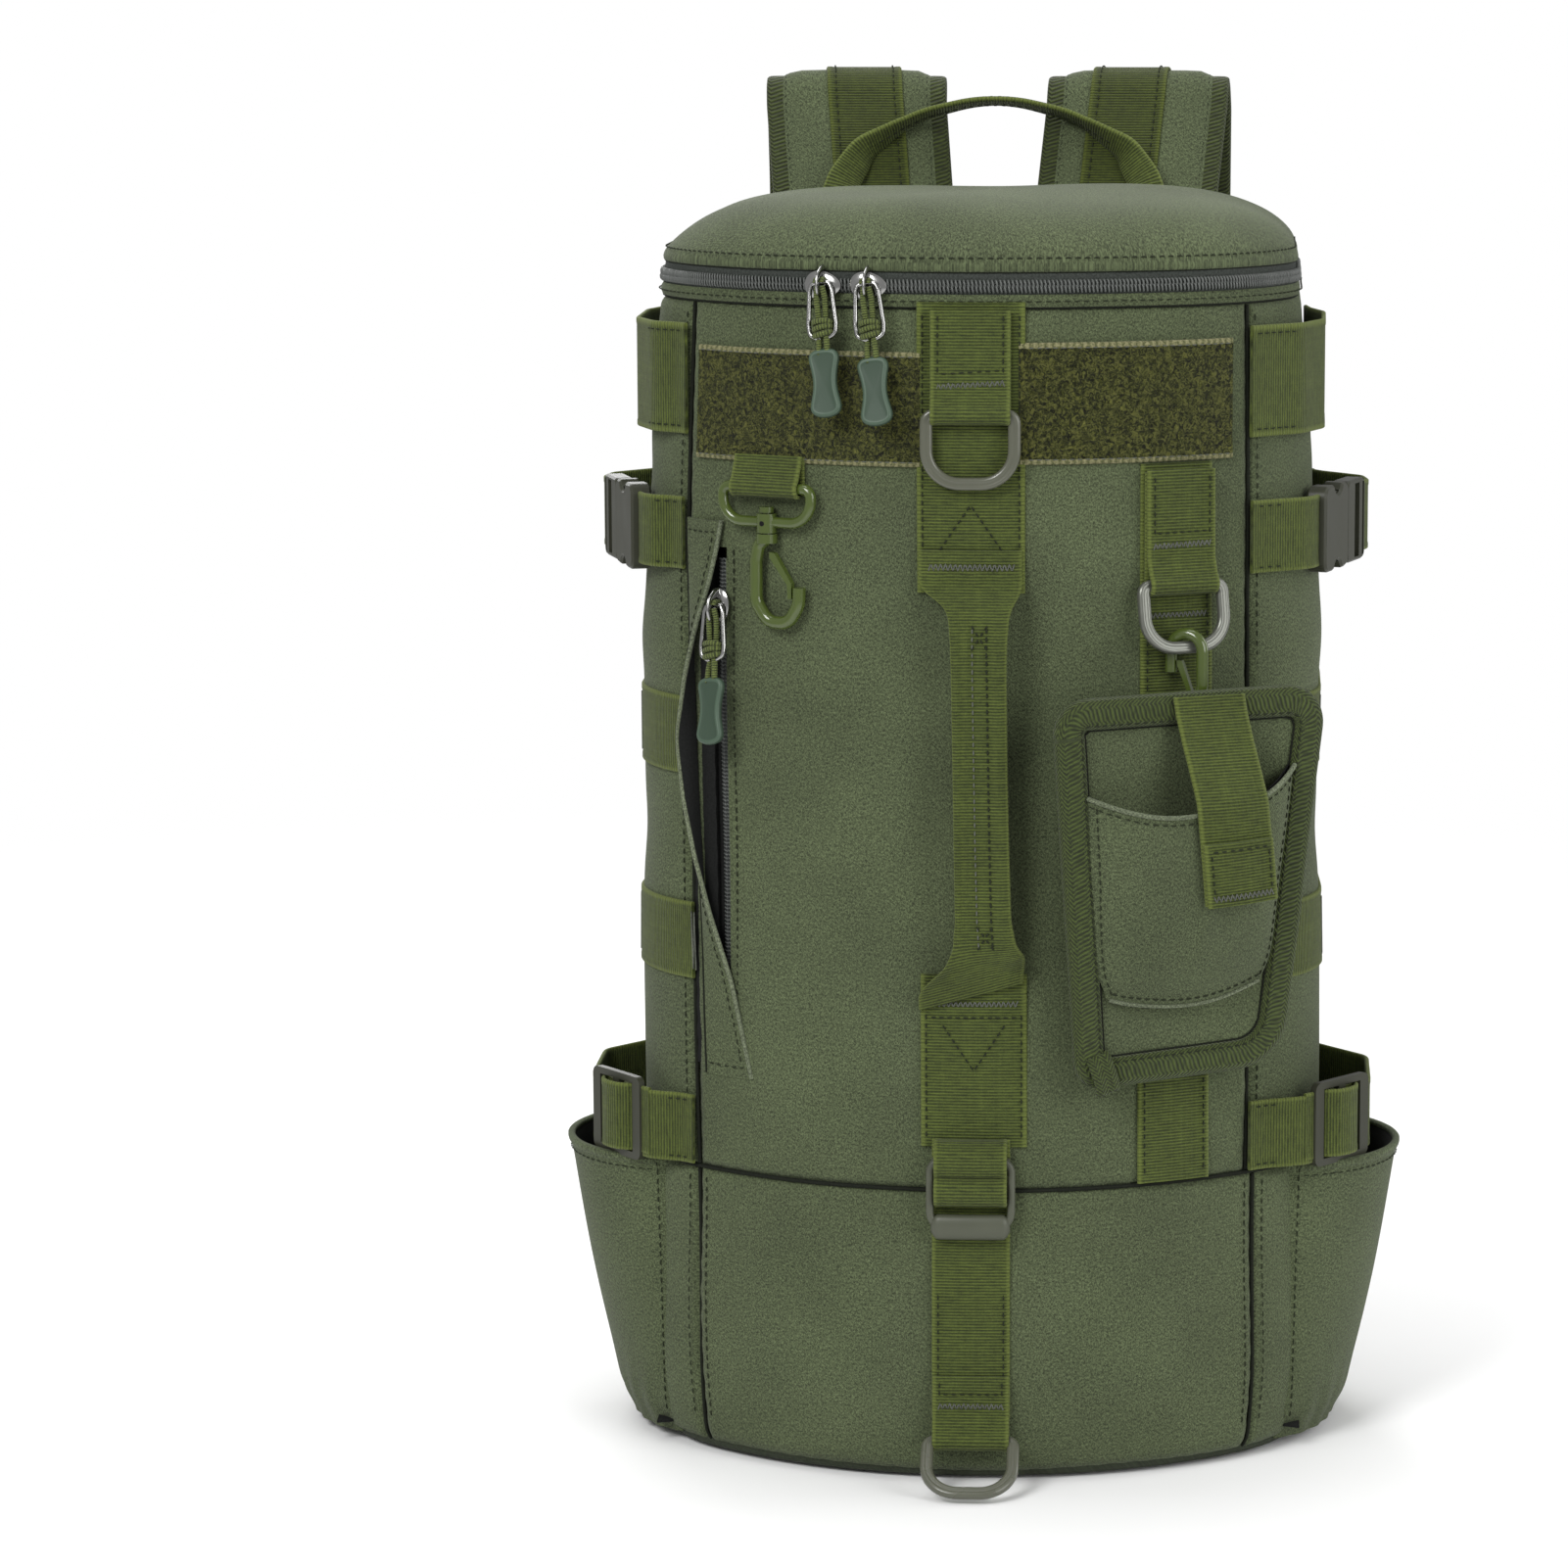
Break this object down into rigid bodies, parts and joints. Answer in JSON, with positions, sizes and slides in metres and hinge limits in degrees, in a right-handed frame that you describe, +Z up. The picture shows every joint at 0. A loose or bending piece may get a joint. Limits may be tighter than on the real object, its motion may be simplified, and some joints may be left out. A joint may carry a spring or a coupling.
{
  "type": "tackle backpack",
  "caption": "Cylindrical-front tackle backpack with a hinged zip lid, side pockets, webbing loops, D-rings, snap hook and a hanging pouch.",
  "frame": {"origin": "middle of the base, on the surface that the bag stands on", "axes": "+Z up, -Y is the bag's front, +X is on the viewer's right when looking at the front"},
  "size_m": [0.3202, 0.2965, 0.5155],
  "materials": {
    "shell": "foam-backed polyester canvas with a fine melange",
    "base": "coated dark fabric",
    "lining": "thin lining cloth",
    "zip_tape": "woven tape with nylon coil",
    "loop_pile": "loop pile",
    "webbing": "ribbed polypropylene webbing",
    "pad_fabric": "padded fabric with webbing",
    "pad_mesh": "spacer mesh",
    "buckle_plastic": "moulded olive plastic",
    "ring_plastic": "grey olive moulded plastic",
    "ring_metal": "lacquered wire",
    "hook_plastic": "glossy olive plastic",
    "slider_metal": "bright plated metal",
    "grip_rubber": "soft rubber"
  },
  "bodies": {
    "bag": {"base_panel": "base", "lower_front_wrap": "shell", "front_panel": "shell", "left_side_panel": "shell", "right_side_panel": "shell", "back_panel": "shell", "rim_band": "shell", "lower_zip_tape": "zip_tape", "side_zip_track": "zip_tape", "zip_pocket_liner": "lining", "side_zip_placket": "shell", "loop_strip": "loop_pile", "centre_webbing": "webbing", "top_ring_tab": "webbing", "grab_handle": "webbing", "hook_tab": "webbing", "right_webbing": "webbing", "bottom_strap": "webbing", "right_side_pocket": "shell", "left_side_pocket": "shell", "rod_loops": "webbing", "molle_rows": "webbing", "compression_straps": "webbing", "buckle_sockets": "buckle_plastic", "lower_side_straps": "webbing", "yoke_strip": "webbing", "back_pads": "pad_mesh", "left_shoulder_strap": "pad_fabric", "right_shoulder_strap": "pad_fabric", "strap_adjusters": "buckle_plastic", "lower_webbing": "webbing"},
    "lid": {"lid_shell": "shell", "upper_zip_tape": "zip_tape"},
    "right_slider": {"right_slider": "slider_metal"},
    "right_pull": {"right_pull_wire": "slider_metal", "right_pull_grip": "grip_rubber"},
    "left_slider": {"left_slider": "slider_metal"},
    "left_pull": {"left_pull_wire": "slider_metal", "left_pull_grip": "grip_rubber"},
    "side_slider": {"side_slider": "slider_metal"},
    "side_pull": {"side_pull_wire": "slider_metal", "side_pull_grip": "grip_rubber"},
    "top_ring": {"top_ring": "ring_plastic"},
    "right_ring": {"right_ring": "ring_metal"},
    "bottom_ring": {"bottom_ring": "ring_plastic"},
    "hook_eye": {"hook_eye": "hook_plastic"},
    "hook_body": {"hook_body": "hook_plastic"},
    "hook_gate": {"hook_gate": "hook_plastic"},
    "pouch_hook": {"pouch_hook": "hook_plastic"},
    "pouch_gate": {"pouch_gate": "hook_plastic"},
    "pouch": {"pouch_panel": "shell", "pouch_binding": "webbing", "pouch_pocket": "shell", "pouch_eye": "hook_plastic", "pouch_hanger": "webbing"},
    "pouch_tab": {"pouch_tab": "webbing"},
    "right_buckle": {"right_buckle_plug": "buckle_plastic"},
    "left_buckle": {"left_buckle_plug": "buckle_plastic"},
    "centre_triglide": {"centre_triglide": "buckle_plastic"},
    "carry_handle": {"carry_handle": "webbing"}
  },
  "joints": [
    {"name": "lid_hinge", "type": "hinge", "parent": "bag", "child": "lid", "pos_m": [0, 0.086, 0.445], "axis": [-1, 0, 0], "range_deg": [0, 75]},
    {"name": "right_zip_run", "type": "hinge", "parent": "bag", "child": "right_slider", "pos_m": [0, 0.077, 0.4436], "axis": [0, 0, 1], "range_deg": [0, 45]},
    {"name": "right_pull_swing", "type": "hinge", "parent": "right_slider", "child": "right_pull", "pos_m": [-0.03758, -0.08869, 0.4445], "axis": [-0.9752, 0.2212, 0], "range_deg": [0, 120]},
    {"name": "left_zip_run", "type": "hinge", "parent": "bag", "child": "left_slider", "pos_m": [0, 0.077, 0.4436], "axis": [0, 0, 1], "range_deg": [-16, 0]},
    {"name": "left_pull_swing", "type": "hinge", "parent": "left_slider", "child": "left_pull", "pos_m": [-0.05447, -0.08393, 0.4445], "axis": [-0.9472, 0.3206, 0], "range_deg": [0, 120]},
    {"name": "side_zip_run", "type": "slide", "parent": "bag", "child": "side_slider", "axis": [0, 0, 1], "range_m": [-0.08, 0]},
    {"name": "side_pull_swing", "type": "hinge", "parent": "side_slider", "child": "side_pull", "pos_m": [-0.09574, -0.06335, 0.3249], "axis": [-0.8261, 0.5635, 0], "range_deg": [0, 120]},
    {"name": "top_ring_swing", "type": "hinge", "parent": "bag", "child": "top_ring", "pos_m": [0, -0.0935, 0.398], "axis": [-1, 0, 0], "range_deg": [0, 110]},
    {"name": "right_ring_swing", "type": "hinge", "parent": "bag", "child": "right_ring", "pos_m": [0.07634, -0.07545, 0.335], "axis": [-0.8942, -0.4478, 0], "range_deg": [0, 75]},
    {"name": "bottom_ring_swing", "type": "hinge", "parent": "bag", "child": "bottom_ring", "pos_m": [0, -0.0935, 0.0175], "axis": [-1, 0, 0], "range_deg": [0, 90]},
    {"name": "hook_eye_swing", "type": "hinge", "parent": "bag", "child": "hook_eye", "pos_m": [-0.0751, -0.07429, 0.3695], "axis": [-0.8957, 0.4446, 0], "range_deg": [0, 100]},
    {"name": "hook_swivel", "type": "hinge", "parent": "hook_eye", "child": "hook_body", "pos_m": [-0.0751, -0.07429, 0.3695], "axis": [0, 0, 1], "range_deg": [-12, 2]},
    {"name": "hook_gate_spring", "type": "hinge", "parent": "hook_body", "child": "hook_gate", "pos_m": [-0.07277, -0.07544, 0.3451], "axis": [0.4446, 0.8957, 0], "range_deg": [0, 18], "stiffness_Nm_per_rad": 0.01},
    {"name": "pouch_hook_swing", "type": "hinge", "parent": "right_ring", "child": "pouch_hook", "pos_m": [0.07813, -0.07902, 0.31235], "axis": [-0.8942, -0.4478, 0], "range_deg": [0, 45]},
    {"name": "pouch_gate_spring", "type": "hinge", "parent": "pouch_hook", "child": "pouch_gate", "pos_m": [0.07951, -0.07962, 0.29715], "axis": [0.3971, 0.9178, 0], "range_deg": [0, 18], "stiffness_Nm_per_rad": 0.01},
    {"name": "pouch_swivel", "type": "hinge", "parent": "pouch_hook", "child": "pouch", "pos_m": [0.08254, -0.08093, 0.31115], "axis": [0, 0, 1], "range_deg": [-8, 8]},
    {"name": "pouch_tab_lift", "type": "hinge", "parent": "pouch", "child": "pouch_tab", "pos_m": [0.08735, -0.09181, 0.29596], "axis": [-0.9033, -0.4289, 0], "range_deg": [0, 60]},
    {"name": "right_buckle_release", "type": "slide", "parent": "bag", "child": "right_buckle", "axis": [0.309, 0.9511, 0], "range_m": [0, 0.012]},
    {"name": "left_buckle_release", "type": "slide", "parent": "bag", "child": "left_buckle", "axis": [-0.309, 0.9511, 0], "range_m": [0, 0.012]},
    {"name": "centre_triglide_run", "type": "slide", "parent": "bag", "child": "centre_triglide", "axis": [0, 0, 1], "range_m": [-0.02, 0]},
    {"name": "carry_handle_swing", "type": "hinge", "parent": "bag", "child": "carry_handle", "pos_m": [0, 0.09, 0.427], "axis": [-1, 0, 0], "range_deg": [-20, 0]}
  ]
}
